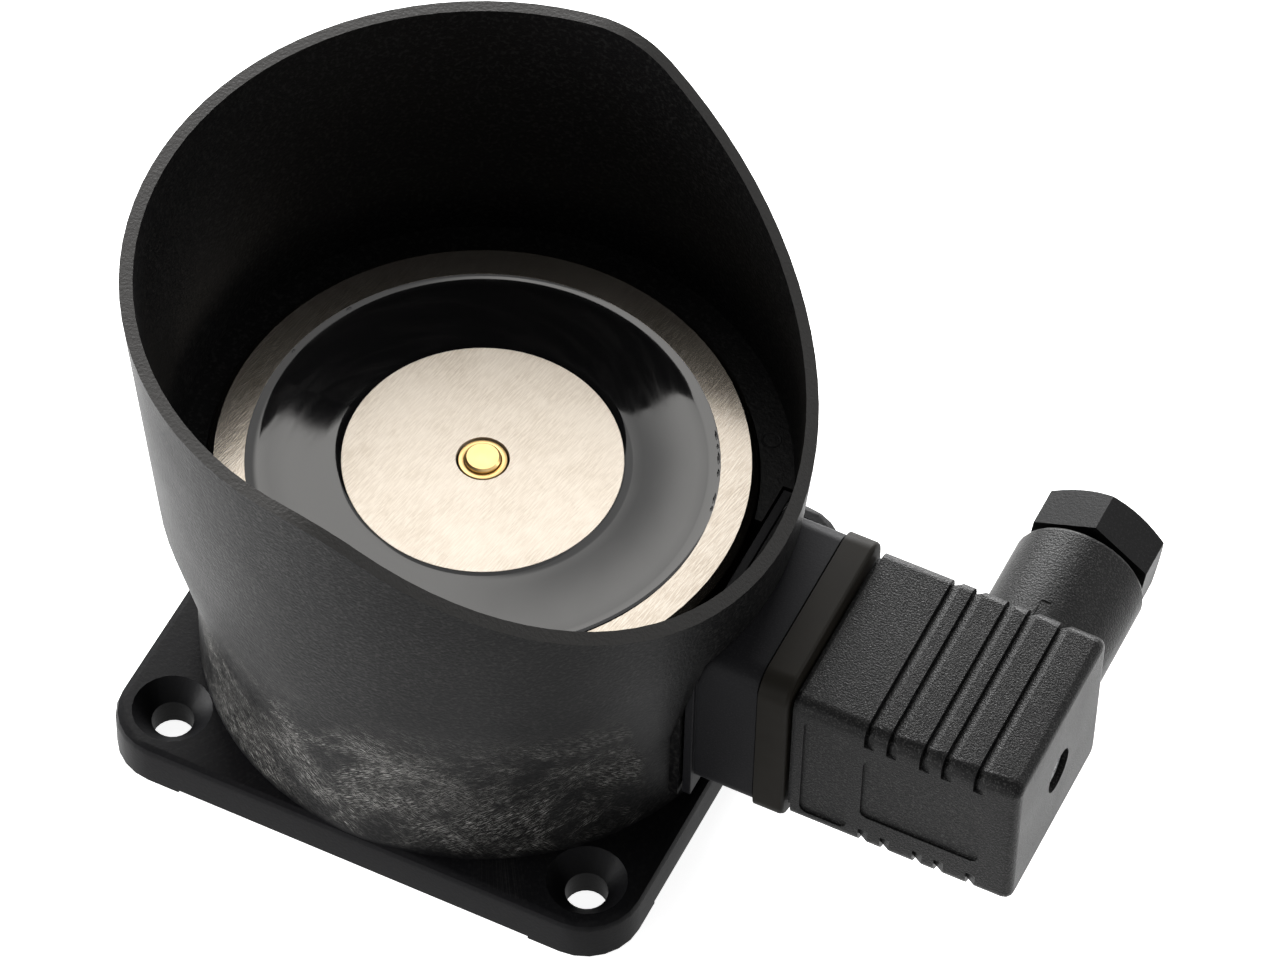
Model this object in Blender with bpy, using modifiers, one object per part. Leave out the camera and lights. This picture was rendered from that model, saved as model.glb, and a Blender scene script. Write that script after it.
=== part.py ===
"""Holding electromagnet in a flanged housing with a guard collar and a right-angle plug connector.

Metres, +Z out of the pole face. The origin is on the magnet axis, in the plane that the four
flange pads stand on. The connector leaves along +X and its cable gland points along +Y.
"""
import math

import bmesh
import bpy

# Clearances
GAP = 0.0003            # between pieces that seat on each other
RUNNING = 0.00008       # between pieces that slide in each other
OVERCUT = 0.004         # how far a cutter reaches past the material that it cuts

# Flange
FLANGE_MARGIN = 0.0004
FLANGE_TOP = 0.0072
FLANGE_CORNER = 0.0085
FLANGE_EDGE = 0.0011
PAD_HEIGHT = 0.0005
PAD_REACH = 0.0135
HOLE_INSET = 0.0083
HOLE_DIAMETER = 0.0062
SINK_DIAMETER = 0.0117

# Housing
BODY_WALL = 0.0019
SHOULDER_HEIGHT = 0.0216
SHOULDER_LIFT = 0.0003
SHOULDER_FLARE = 0.0048
COLLAR_HEIGHT = 0.0428
COLLAR_FLARE = 0.0036
COLLAR_WALL = 0.0019
RIM_SLOPE = math.radians(35.6)
RIM_BEND_X = -0.0002
RIM_BEND_RADIUS = 0.020
LEDGE_DROP = 0.0020
FLOOR_BOTTOM = 0.0080
FLOOR_THICKNESS = 0.0047
UNDERSIDE_WALL = 0.0072
BOSS_CHEEK = 0.0002
BOSS_PROUD = 0.00005
BOSS_BOTTOM = 0.0105
WINDOW_HALF_WIDTH = 0.0090

# Magnet
POLE_HEIGHT = 0.0470
POT_RADIUS = 0.0390
POT_CHAMFER = 0.0010
POT_WALL = 0.0054
POT_FLOOR = 0.0080
COIL_SPACE = 0.0136
RESIN_DEPTH = 0.0040
RESIN_DROP = 0.0009
RESIN_LIP = 0.0006
RESIN_LIP_WIDTH = 0.0016
BOBBIN_WALL = 0.0012
WINDING_INSET = 0.0008
LEAD_HOLE_RADIUS = 0.0035
LEAD_HEIGHT = 0.0260
LEAD_RADIUS = 0.0008
LEAD_SPACING = 0.0030

# Ejector pin
SLEEVE_RADIUS = 0.0035
SLEEVE_LENGTH = 0.0100
SLEEVE_DROP = 0.0002
PIN_RADIUS = 0.0026
PIN_RISE = 0.0005
PIN_COLLAR_RADIUS = 0.0032
PIN_COLLAR_HEIGHT = 0.0016
PIN_EDGE = 0.0003
SPRING_LENGTH = 0.0042
SPRING_WIRE_RADIUS = 0.00025
SPRING_TURNS = 3
SPRING_POINTS_PER_TURN = 10
RETAINER_HEIGHT = 0.0022

# Magnet fixing
SCREW_RADIUS = 0.0030
SCREW_HEAD_RADIUS = 0.0050
SCREW_HEAD_HEIGHT = 0.0040
SCREW_SOCKET = 0.0050
SCREW_TIP_GAP = 0.0015
WASHER_RADIUS = 0.0062
WASHER_THICKNESS = 0.0010

# Plug base and gasket
PLUG_CENTRE = 0.0281
PLATE_THICKNESS = 0.00135
PLATE_LIP = 0.0007
BASE_HALF = 0.0151
BASE_LENGTH = 0.0093
BASE_CORNER = 0.0032
BASE_RECESS_HALF_WIDTH = 0.0080
BASE_RECESS_HALF_HEIGHT = 0.0115
BASE_RECESS_DEPTH = 0.0040
GASKET_LIP = 0.0006
GASKET_LENGTH = 0.0046
GASKET_CORNER = 0.0036
GASKET_EDGE = 0.0006
GASKET_WINDOW = 0.0117
INSERT_RADIUS = 0.0026
INSERT_LENGTH = 0.0045
CONTACT_SPACING = 0.0180
BLADE_WIDTH = 0.0055
BLADE_THICKNESS = 0.0010
BLADE_REACH = 0.0110
BLADE_TAIL = 0.0016

# Connector
CONNECTOR_HALF_WIDTH = 0.0152
CONNECTOR_HALF_HEIGHT = 0.01365
CONNECTOR_SHADOW_GAP = 0.0010
CONNECTOR_LENGTH = 0.0340
CONNECTOR_EDGE = 0.0021
CONNECTOR_END_EDGE = 0.0014
CONNECTOR_WALL = 0.0021
END_WALL = 0.0057
NOSE_INSET = 0.0007
NOSE_LENGTH = 0.0010
GRIP_START = 0.0105
GRIP_OFFSETS = (0.0, 0.0034, 0.0084, 0.0117, 0.0166)
GRIP_WIDTH = 0.0015
GRIP_DEPTH = 0.00065
GRIP_WRAP = 0.0038
PANEL_DEPTH = 0.00035
PANEL_1 = (0.0014, 0.0086, -0.0111, 0.0103)
PANEL_2 = (0.0106, 0.0287, -0.0066, 0.0067)
CENTRE_HOLE_RADIUS = 0.0034
CENTRE_HOLE_DEPTH = 0.0042
CENTRE_SCREW_RADIUS = 0.0015
CENTRE_HEAD_RADIUS = 0.0028
CENTRE_HEAD_HEIGHT = 0.0020
CENTRE_SLOT = 0.0008
SEAL_THICKNESS = 0.0007
BLOCK_LENGTH = 0.0140
SOCKET_LENGTH = 0.0095
SOCKET_WIDTH = 0.0078
SOCKET_HEIGHT = 0.0036
TERMINAL_RADIUS = 0.0014
TERMINAL_LENGTH = 0.0042

# Gland
GLAND_INSET = 0.0111
GLAND_RADIUS = 0.0100
GLAND_END = 0.0328
GLAND_EDGE = 0.0008
GLAND_BORE = 0.0075
GLAND_BORE_DEPTH = 0.0130
CABLE_RADIUS = 0.0045
NUT_ACROSS_FLATS = 0.0178
NUT_HEIGHT = 0.0070
NUT_LIFT = 0.0012
NUT_CHAMFER = 0.0014
NUT_SHANK_LENGTH = 0.0062
CLAMP_THICKNESS = 0.0010
CLAMP_PLAY = 0.0011
GLAND_SEAL_LENGTH = 0.0030

# Facets
ROUND = 90
MEDIUM = 40
SMALL = 24

# Places and sizes that follow from the sizes above
BORE_RADIUS = POT_RADIUS + GAP
BODY_RADIUS = BORE_RADIUS + BODY_WALL
FLANGE_SIDE = 2 * (BODY_RADIUS + FLANGE_MARGIN)
HOLE_SPACING = FLANGE_SIDE - 2 * HOLE_INSET
UNDERSIDE_RADIUS = BODY_RADIUS - UNDERSIDE_WALL
LEDGE_HEIGHT = POLE_HEIGHT - LEDGE_DROP
SHOULDER_TOP = LEDGE_HEIGHT + SHOULDER_LIFT
SHOULDER_BOTTOM = SHOULDER_TOP - SHOULDER_HEIGHT
SHOULDER_RADIUS = BODY_RADIUS + SHOULDER_FLARE
RIM_HEIGHT = SHOULDER_TOP + COLLAR_HEIGHT
RIM_RADIUS = SHOULDER_RADIUS + COLLAR_FLARE
BOSS_FRONT = BORE_RADIUS + BOSS_PROUD
PLATE_HALF_WIDTH = BASE_HALF + PLATE_LIP
GASKET_HALF = BASE_HALF + GASKET_LIP
BOSS_HALF_WIDTH = PLATE_HALF_WIDTH + GAP + BOSS_CHEEK
POT_INNER_RADIUS = POT_RADIUS - POT_WALL
CORE_RADIUS = POT_INNER_RADIUS - COIL_SPACE
FLOOR_TOP = FLOOR_BOTTOM + FLOOR_THICKNESS
POT_BOTTOM = FLOOR_TOP + GAP
POT_FLOOR_TOP = POT_BOTTOM + POT_FLOOR
CORE_BOTTOM = POT_FLOOR_TOP + GAP
RESIN_BOTTOM = POLE_HEIGHT - RESIN_DROP - RESIN_DEPTH
SLEEVE_TOP = POLE_HEIGHT - SLEEVE_DROP
SLEEVE_BOTTOM = SLEEVE_TOP - SLEEVE_LENGTH
PIN_COLLAR_TOP = SLEEVE_BOTTOM - GAP
PIN_COLLAR_BOTTOM = PIN_COLLAR_TOP - PIN_COLLAR_HEIGHT
SPRING_TOP = PIN_COLLAR_BOTTOM - GAP
SPRING_BOTTOM = SPRING_TOP - SPRING_LENGTH
RETAINER_TOP = SPRING_BOTTOM - GAP
RETAINER_BOTTOM = RETAINER_TOP - RETAINER_HEIGHT
PLATE_BACK = BOSS_FRONT + GAP
PLATE_FRONT = PLATE_BACK + PLATE_THICKNESS
PLATE_TOP = LEDGE_HEIGHT - GAP
PLATE_BOTTOM = BOSS_BOTTOM + GAP
BASE_FRONT = PLATE_FRONT + BASE_LENGTH
GASKET_BACK = BASE_FRONT + GAP
GASKET_FRONT = GASKET_BACK + GASKET_LENGTH
CONNECTOR_START = GASKET_FRONT + CONNECTOR_SHADOW_GAP
CONNECTOR_END = CONNECTOR_START + CONNECTOR_LENGTH
GLAND_AXIS_X = CONNECTOR_END - GLAND_INSET
GRIP_FIRST = CONNECTOR_START + GRIP_START
CAVITY_END = CONNECTOR_END - END_WALL
BLOCK_BACK = GASKET_FRONT + GAP
BLOCK_FRONT = BLOCK_BACK + BLOCK_LENGTH
SCREW_SEAT = CONNECTOR_END - CENTRE_HOLE_DEPTH
SEAL_START = SCREW_SEAT + GAP
HEAD_START = SEAL_START + SEAL_THICKNESS + GAP
INSERT_START = BASE_FRONT - INSERT_LENGTH
GLAND_SEAT = GLAND_END - GLAND_BORE_DEPTH
NUT_START = GLAND_END + NUT_LIFT
SHANK_END = NUT_START - NUT_SHANK_LENGTH
CLAMP_END = SHANK_END - GAP
CLAMP_START = CLAMP_END - CLAMP_THICKNESS
GLAND_SEAL_END = CLAMP_START - CLAMP_PLAY
HALF_SPACING = CONTACT_SPACING / 2

# Contact name, offset from the plug axis along Y and Z, and whether the blade stands on edge
CONTACTS = (
    ("line", 0.0, HALF_SPACING, False),
    ("neutral", 0.0, -HALF_SPACING, False),
    ("earth", HALF_SPACING, 0.0, True),
)


def clear_scene():
    for old in list(bpy.data.objects):
        bpy.data.objects.remove(old, do_unlink=True)


def make_collection(name):
    collection = bpy.data.collections.new(name)
    bpy.context.scene.collection.children.link(collection)
    return collection


def make_material(name, colour, roughness, metallic=0.0):
    material = bpy.data.materials.new(name)
    material.use_nodes = True
    shader = material.node_tree.nodes["Principled BSDF"]
    shader.inputs["Base Color"].default_value = (*colour, 1.0)
    shader.inputs["Roughness"].default_value = roughness
    shader.inputs["Metallic"].default_value = metallic
    return material


def add_mesh_object(name, mesh, material=None):
    """Put a mesh in the part, or among the cutters when it has no material."""
    piece = bpy.data.objects.new(name, mesh)
    if material is None:
        CUTTERS.objects.link(piece)
        piece.hide_render = True
        piece.display_type = "WIRE"
    else:
        PARTS.objects.link(piece)
        mesh.materials.append(material)
    return piece


def smooth(piece, angle=35.0):
    piece.data.shade_smooth()
    piece.data.set_sharp_from_angle(angle=math.radians(angle))


def turned(name, profile, steps, material=None, axis="Z", centre=(0.0, 0.0, 0.0)):
    """Turn a profile of (radius, height) about an axis; one that starts on the axis ends on it."""
    mesh = bpy.data.meshes.new(name)
    points = [(radius, 0.0, height) for radius, height in profile]
    solid = profile[0][0] == 0.0
    loop = [(i, i + 1) for i in range(len(points) - 1)]
    if not solid:
        loop.append((len(points) - 1, 0))
    mesh.from_pydata(points, loop, [])
    piece = add_mesh_object(name, mesh, material)
    piece.location = centre
    if axis == "X":
        piece.rotation_euler = (0.0, math.pi / 2, 0.0)
    if axis == "Y":
        piece.rotation_euler = (-math.pi / 2, 0.0, 0.0)
    screw = piece.modifiers.new("turn", "SCREW")
    screw.axis = "Z"
    screw.angle = 2 * math.pi
    screw.steps = steps
    screw.render_steps = steps
    screw.use_merge_vertices = True
    screw.merge_threshold = 0.00001
    screw.use_smooth_shade = True
    if solid:
        weld = piece.modifiers.new("close", "WELD")
        weld.merge_threshold = 0.00001
    return piece


def tube_profile(outer, inner, bottom, top):
    return [(outer, top), (outer, bottom), (inner, bottom), (inner, top)]


def cylinder(name, radius, start, end, steps, material=None, axis="Z", centre=(0.0, 0.0, 0.0)):
    """A solid cylinder from start to end along an axis through the centre."""
    mesh = bpy.data.meshes.new(name)
    shape = bmesh.new()
    bmesh.ops.create_cone(
        shape, cap_ends=True, segments=steps, radius1=radius, radius2=radius, depth=end - start
    )
    bmesh.ops.translate(shape, vec=(0.0, 0.0, (start + end) / 2), verts=shape.verts)
    shape.to_mesh(mesh)
    shape.free()
    piece = add_mesh_object(name, mesh, material)
    piece.location = centre
    if axis == "X":
        piece.rotation_euler = (0.0, math.pi / 2, 0.0)
    if axis == "Y":
        piece.rotation_euler = (-math.pi / 2, 0.0, 0.0)
    smooth(piece)
    return piece


def block(name, low, high, material=None, rounding=None):
    """A box between two corners; rounding lists (edge test, radius, segments)."""
    size = [h - l for l, h in zip(low, high)]
    middle = [(h + l) / 2 for l, h in zip(low, high)]
    mesh = bpy.data.meshes.new(name)
    shape = bmesh.new()
    bmesh.ops.create_cube(shape, size=1.0)
    bmesh.ops.scale(shape, vec=size, verts=shape.verts)
    for test, radius, segments in rounding or ():
        edges = [edge for edge in shape.edges if test(edge)]
        bmesh.ops.bevel(
            shape, geom=edges, offset=radius, segments=segments, profile=0.5, affect="EDGES"
        )
    shape.to_mesh(mesh)
    shape.free()
    piece = add_mesh_object(name, mesh, material)
    piece.location = middle
    if rounding:
        smooth(piece)
    return piece


def runs_along(axis):
    """True for an edge that is parallel to an axis."""
    def test(edge):
        start, end = (vertex.co for vertex in edge.verts)
        return all(abs(start[i] - end[i]) < 1e-6 for i in range(3) if i != axis)
    return test


def bounds_end(axis, sign):
    """True for an edge in the plane that ends the shape on one side of an axis."""
    def test(edge):
        limit = max(sign * vertex.co[axis] for face in edge.link_faces for vertex in face.verts)
        return all(abs(sign * vertex.co[axis] - limit) < 1e-6 for vertex in edge.verts)
    return test


def combine(piece, operation, *others):
    for other in others:
        modifier = piece.modifiers.new(other.name, "BOOLEAN")
        modifier.operation = operation
        modifier.solver = "EXACT"
        modifier.object = other


def cut(piece, *cutters):
    combine(piece, "DIFFERENCE", *cutters)


def join(piece, *additions):
    combine(piece, "UNION", *additions)


def extruded_outline(name, outline, half_depth):
    """A closed outline in the XZ plane, drawn out to both sides along Y."""
    mesh = bpy.data.meshes.new(name)
    shape = bmesh.new()
    front = [shape.verts.new((x, -half_depth, z)) for x, z in outline]
    face = shape.faces.new(front)
    result = bmesh.ops.extrude_face_region(shape, geom=[face])
    moved = [item for item in result["geom"] if isinstance(item, bmesh.types.BMVert)]
    bmesh.ops.translate(shape, vec=(0.0, 2 * half_depth, 0.0), verts=moved)
    bmesh.ops.recalc_face_normals(shape, faces=shape.faces)
    shape.to_mesh(mesh)
    shape.free()
    return add_mesh_object(name, mesh)


def arc(centre, radius, start, end, steps):
    """Points on an arc in a plane, from one angle to another."""
    points = []
    for i in range(steps + 1):
        angle = start + (end - start) * i / steps
        points.append((centre[0] + radius * math.cos(angle), centre[1] + radius * math.sin(angle)))
    return points


def collar_radius(height):
    """Outer radius of the flared collar at a height."""
    share = (height - SHOULDER_TOP) / (RIM_HEIGHT - SHOULDER_TOP)
    return SHOULDER_RADIUS + (RIM_RADIUS - SHOULDER_RADIUS) * share


def collar_cutter():
    """Cuts the rim level over the back and down a slope towards the connector."""
    reach = 2 * RIM_RADIUS
    top = RIM_HEIGHT + reach
    tangent = RIM_BEND_RADIUS * math.tan(RIM_SLOPE / 2)
    centre = (RIM_BEND_X - tangent, RIM_HEIGHT - RIM_BEND_RADIUS)
    bend = arc(centre, RIM_BEND_RADIUS, math.pi / 2, math.pi / 2 - RIM_SLOPE, 8)
    drop = RIM_HEIGHT - (reach - RIM_BEND_X) * math.tan(RIM_SLOPE)
    outline = [(-reach, RIM_HEIGHT), *bend, (reach, drop), (reach, top), (-reach, top)]
    return extruded_outline("rim_cutter", outline, reach)


def screw_hole_cutter():
    """Four through holes with countersinks, as one set of funnels."""
    hole = HOLE_DIAMETER / 2
    sink = SINK_DIAMETER / 2
    rings = (
        (hole, -OVERCUT),
        (hole, FLANGE_TOP - (sink - hole)),
        (sink + GAP, FLANGE_TOP + GAP),
    )
    mesh = bpy.data.meshes.new("screw_holes")
    shape = bmesh.new()
    for side_x, side_y in ((-1, -1), (1, -1), (1, 1), (-1, 1)):
        loops = []
        for radius, height in rings:
            loop = []
            for i in range(SMALL):
                angle = 2 * math.pi * (i + 0.5) / SMALL
                x = side_x * HOLE_SPACING / 2 + radius * math.cos(angle)
                y = side_y * HOLE_SPACING / 2 + radius * math.sin(angle)
                loop.append(shape.verts.new((x, y, height)))
            loops.append(loop)
        for low, high in zip(loops, loops[1:]):
            for i in range(SMALL):
                follow = (i + 1) % SMALL
                shape.faces.new((low[i], low[follow], high[follow], high[i]))
        shape.faces.new(list(reversed(loops[0])))
        shape.faces.new(loops[-1])
    shape.to_mesh(mesh)
    shape.free()
    return add_mesh_object("screw_holes", mesh)


def make_housing(material):
    outer = [
        (RIM_RADIUS, RIM_HEIGHT),
        (SHOULDER_RADIUS, SHOULDER_TOP),
        (BODY_RADIUS, SHOULDER_BOTTOM),
        (BODY_RADIUS, FLANGE_TOP / 2),
        (SCREW_RADIUS + GAP, FLANGE_TOP / 2),
        (SCREW_RADIUS + GAP, FLOOR_TOP),
        (BORE_RADIUS, FLOOR_TOP),
        (BORE_RADIUS, LEDGE_HEIGHT),
        (collar_radius(LEDGE_HEIGHT) - COLLAR_WALL, LEDGE_HEIGHT),
        (RIM_RADIUS - COLLAR_WALL, RIM_HEIGHT),
    ]
    housing = turned("housing", outer, ROUND, material)
    half = FLANGE_SIDE / 2
    flange = block(
        "flange_plate", (-half, -half, 0.0), (half, half, FLANGE_TOP),
        rounding=(
            (runs_along(2), FLANGE_CORNER, 6),
            (bounds_end(2, 1), FLANGE_EDGE, 2),
        ),
    )
    boss = block(
        "plug_boss",
        (BORE_RADIUS - BOSS_HALF_WIDTH / 2, -BOSS_HALF_WIDTH, BOSS_BOTTOM),
        (BOSS_FRONT - GAP / 3, BOSS_HALF_WIDTH, LEDGE_HEIGHT - GAP),
    )
    boss_relief = cylinder(
        "boss_relief", BORE_RADIUS + BODY_WALL / 2, BOSS_BOTTOM - OVERCUT, LEDGE_HEIGHT + OVERCUT, ROUND
    )
    cut(boss, boss_relief)
    join(housing, flange, boss)

    underside = cylinder("underside_cutter", UNDERSIDE_RADIUS, -OVERCUT, FLOOR_BOTTOM, ROUND)
    pad_edge = half - PAD_REACH
    far = half + OVERCUT
    relief_x = block("relief_x", (-pad_edge, -far, -OVERCUT), (pad_edge, far, PAD_HEIGHT))
    relief_y = block("relief_y", (-far, -pad_edge, -OVERCUT), (far, pad_edge, PAD_HEIGHT))
    far_front = BOSS_FRONT + BASE_LENGTH + OVERCUT
    base_top = PLUG_CENTRE + BASE_HALF + GAP
    pocket_outline = [
        (BOSS_FRONT, BOSS_BOTTOM - GAP),
        (far_front, BOSS_BOTTOM - GAP),
        (far_front, base_top),
        (PLATE_FRONT + GAP, base_top),
        (PLATE_FRONT + GAP, LEDGE_HEIGHT + OVERCUT),
        (BOSS_FRONT, LEDGE_HEIGHT + OVERCUT),
    ]
    pocket = extruded_outline("plug_pocket", pocket_outline, PLATE_HALF_WIDTH + GAP)
    window = block(
        "lead_window",
        (BOSS_FRONT - OVERCUT, -WINDOW_HALF_WIDTH, FLOOR_TOP - GAP),
        (BOSS_FRONT + GAP, WINDOW_HALF_WIDTH, LEDGE_HEIGHT + OVERCUT),
    )
    cut(housing, underside, relief_x, relief_y, pocket, window, collar_cutter())

    cut(housing, screw_hole_cutter())
    return housing


def make_magnet(steel, core_steel, nylon, copper, resin):
    pot = turned(
        "magnet_pot",
        [
            (POT_RADIUS - POT_CHAMFER, POLE_HEIGHT),
            (POT_RADIUS, POLE_HEIGHT - POT_CHAMFER),
            (POT_RADIUS, POT_BOTTOM),
            (SCREW_RADIUS + GAP, POT_BOTTOM),
            (SCREW_RADIUS + GAP, POT_FLOOR_TOP),
            (POT_INNER_RADIUS, POT_FLOOR_TOP),
            (POT_INNER_RADIUS, POLE_HEIGHT),
        ],
        ROUND, steel,
    )
    lead_hole = cylinder(
        "lead_hole_cutter", LEAD_HOLE_RADIUS, POT_INNER_RADIUS - OVERCUT, POT_RADIUS + OVERCUT,
        SMALL, axis="X", centre=(0.0, 0.0, LEAD_HEIGHT),
    )
    cut(pot, lead_hole)

    sleeve_bore = SLEEVE_RADIUS + GAP
    turned(
        "inner_pole",
        [
            (CORE_RADIUS, POLE_HEIGHT),
            (CORE_RADIUS, CORE_BOTTOM),
            (SCREW_RADIUS + GAP, CORE_BOTTOM),
            (SCREW_RADIUS + GAP, RETAINER_BOTTOM - GAP),
            (sleeve_bore, RETAINER_BOTTOM - GAP),
            (sleeve_bore, POLE_HEIGHT),
        ],
        ROUND, core_steel,
    )

    bobbin_inner = CORE_RADIUS + GAP
    bobbin_outer = POT_INNER_RADIUS - GAP
    bobbin_bottom = POT_FLOOR_TOP + GAP
    bobbin_top = RESIN_BOTTOM - GAP
    turned(
        "coil_bobbin",
        [
            (bobbin_outer, bobbin_top),
            (bobbin_outer, bobbin_top - BOBBIN_WALL),
            (bobbin_inner + BOBBIN_WALL, bobbin_top - BOBBIN_WALL),
            (bobbin_inner + BOBBIN_WALL, bobbin_bottom + BOBBIN_WALL),
            (bobbin_outer, bobbin_bottom + BOBBIN_WALL),
            (bobbin_outer, bobbin_bottom),
            (bobbin_inner, bobbin_bottom),
            (bobbin_inner, bobbin_top),
        ],
        MEDIUM, nylon,
    )
    turned(
        "coil_winding",
        tube_profile(
            bobbin_outer - WINDING_INSET,
            bobbin_inner + BOBBIN_WALL + GAP,
            bobbin_bottom + BOBBIN_WALL + GAP,
            bobbin_top - BOBBIN_WALL - GAP,
        ),
        MEDIUM, copper,
    )
    surface = POLE_HEIGHT - RESIN_DROP
    turned(
        "potting_ring",
        [
            (bobbin_outer, surface + RESIN_LIP),
            (bobbin_outer, RESIN_BOTTOM),
            (bobbin_inner, RESIN_BOTTOM),
            (bobbin_inner, surface + RESIN_LIP),
            (bobbin_inner + RESIN_LIP_WIDTH / 2, surface + RESIN_LIP / 4),
            (bobbin_inner + RESIN_LIP_WIDTH, surface),
            (bobbin_outer - RESIN_LIP_WIDTH, surface),
            (bobbin_outer - RESIN_LIP_WIDTH / 2, surface + RESIN_LIP / 4),
        ],
        ROUND, resin,
    )


def make_leads(insulation):
    """Two coil leads from the hole in the pot to the tails of the contact blades."""
    start = POT_INNER_RADIUS + 2 * GAP
    tail = PLATE_BACK + BASE_RECESS_DEPTH - BLADE_TAIL
    for number, side in ((1, 1), (2, -1)):
        curve = bpy.data.curves.new(f"coil_lead_{number}", "CURVE")
        curve.dimensions = "3D"
        curve.bevel_depth = LEAD_RADIUS
        curve.bevel_resolution = 2
        curve.use_fill_caps = True
        low_end = PLUG_CENTRE + side * (HALF_SPACING - BLADE_WIDTH / 3)
        knee = PLATE_BACK + LEAD_RADIUS
        across = side * LEAD_SPACING / 2
        route = [
            (start, across, LEAD_HEIGHT),
            (knee - LEAD_RADIUS, across, LEAD_HEIGHT + side * LEAD_RADIUS / 2),
            (knee, across, LEAD_HEIGHT + side * 2 * LEAD_RADIUS),
            (tail - LEAD_RADIUS, across / 2, low_end - side * LEAD_RADIUS),
            (tail - GAP, 0.0, low_end),
        ]
        spline = curve.splines.new("POLY")
        spline.points.add(len(route) - 1)
        for point, place in zip(spline.points, route):
            point.co = (*place, 1.0)
        lead = bpy.data.objects.new(f"coil_lead_{number}", curve)
        curve.materials.append(insulation)
        PARTS.objects.link(lead)


def make_ejector(brass, pin_brass, spring_steel, retainer_steel):
    turned(
        "guide_sleeve",
        tube_profile(SLEEVE_RADIUS, PIN_RADIUS + RUNNING, SLEEVE_BOTTOM, SLEEVE_TOP),
        MEDIUM, brass,
    )
    top = POLE_HEIGHT + PIN_RISE
    turned(
        "ejector_pin",
        [
            (0.0, top),
            (PIN_RADIUS - PIN_EDGE, top),
            (PIN_RADIUS, top - PIN_EDGE),
            (PIN_RADIUS, PIN_COLLAR_TOP),
            (PIN_COLLAR_RADIUS, PIN_COLLAR_TOP),
            (PIN_COLLAR_RADIUS, PIN_COLLAR_BOTTOM),
            (0.0, PIN_COLLAR_BOTTOM),
        ],
        MEDIUM, pin_brass,
    )

    coil_radius = PIN_COLLAR_RADIUS - SPRING_WIRE_RADIUS - GAP
    height = SPRING_LENGTH - 2 * SPRING_WIRE_RADIUS
    steps = SPRING_TURNS * SPRING_POINTS_PER_TURN
    route = []
    for i in range(steps + 1):
        turn = 2 * math.pi * i / SPRING_POINTS_PER_TURN
        rise = SPRING_BOTTOM + SPRING_WIRE_RADIUS + height * i / steps
        route.append((coil_radius * math.cos(turn), coil_radius * math.sin(turn), rise))
    curve = bpy.data.curves.new("ejector_spring", "CURVE")
    curve.dimensions = "3D"
    curve.bevel_depth = SPRING_WIRE_RADIUS
    curve.bevel_resolution = 1
    curve.use_fill_caps = True
    spline = curve.splines.new("POLY")
    spline.points.add(steps)
    for point, place in zip(spline.points, route):
        point.co = (*place, 1.0)
    curve.materials.append(spring_steel)
    spring = bpy.data.objects.new("ejector_spring", curve)
    PARTS.objects.link(spring)
    least = min(
        math.dist(route[i], route[j])
        for i in range(len(route))
        for j in range(i + SPRING_POINTS_PER_TURN // 2, len(route))
    )
    print("ejector_spring least gap to itself, mm:", round(1000 * (least - 2 * SPRING_WIRE_RADIUS), 3))
    cylinder("spring_retainer", SLEEVE_RADIUS, RETAINER_BOTTOM, RETAINER_TOP, SMALL, retainer_steel)


def make_magnet_fixing(zinc, washer_steel):
    washer_top = FLOOR_BOTTOM - GAP
    washer_bottom = washer_top - WASHER_THICKNESS
    turned(
        "magnet_washer",
        tube_profile(WASHER_RADIUS, SCREW_RADIUS + GAP, washer_bottom, washer_top),
        SMALL, washer_steel,
    )
    head_top = washer_bottom - GAP
    head_bottom = head_top - SCREW_HEAD_HEIGHT
    screw = cylinder("magnet_screw", SCREW_HEAD_RADIUS, head_bottom, head_top, SMALL, zinc)
    tip = RETAINER_BOTTOM - SCREW_TIP_GAP
    shaft = cylinder("screw_shaft", SCREW_RADIUS, head_top - SCREW_RADIUS, tip, SMALL)
    join(screw, shaft)
    socket_radius = SCREW_SOCKET / math.sqrt(3)
    socket = cylinder(
        "screw_socket", socket_radius, head_bottom - OVERCUT, head_bottom + SCREW_HEAD_HEIGHT / 2, 6
    )
    cut(screw, socket)


def on_plug_axis(y=0.0, z=0.0):
    """A point on a line along X through the plug, offset across it."""
    return (0.0, y, PLUG_CENTRE + z)


def contact_box(name, offset_y, offset_z, upright, start, end, width, height, material=None):
    """A box on a contact's place, lying flat or standing on edge."""
    half_y, half_z = (height / 2, width / 2) if upright else (width / 2, height / 2)
    low = (start, offset_y - half_y, PLUG_CENTRE + offset_z - half_z)
    high = (end, offset_y + half_y, PLUG_CENTRE + offset_z + half_z)
    return block(name, low, high, material)


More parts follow.
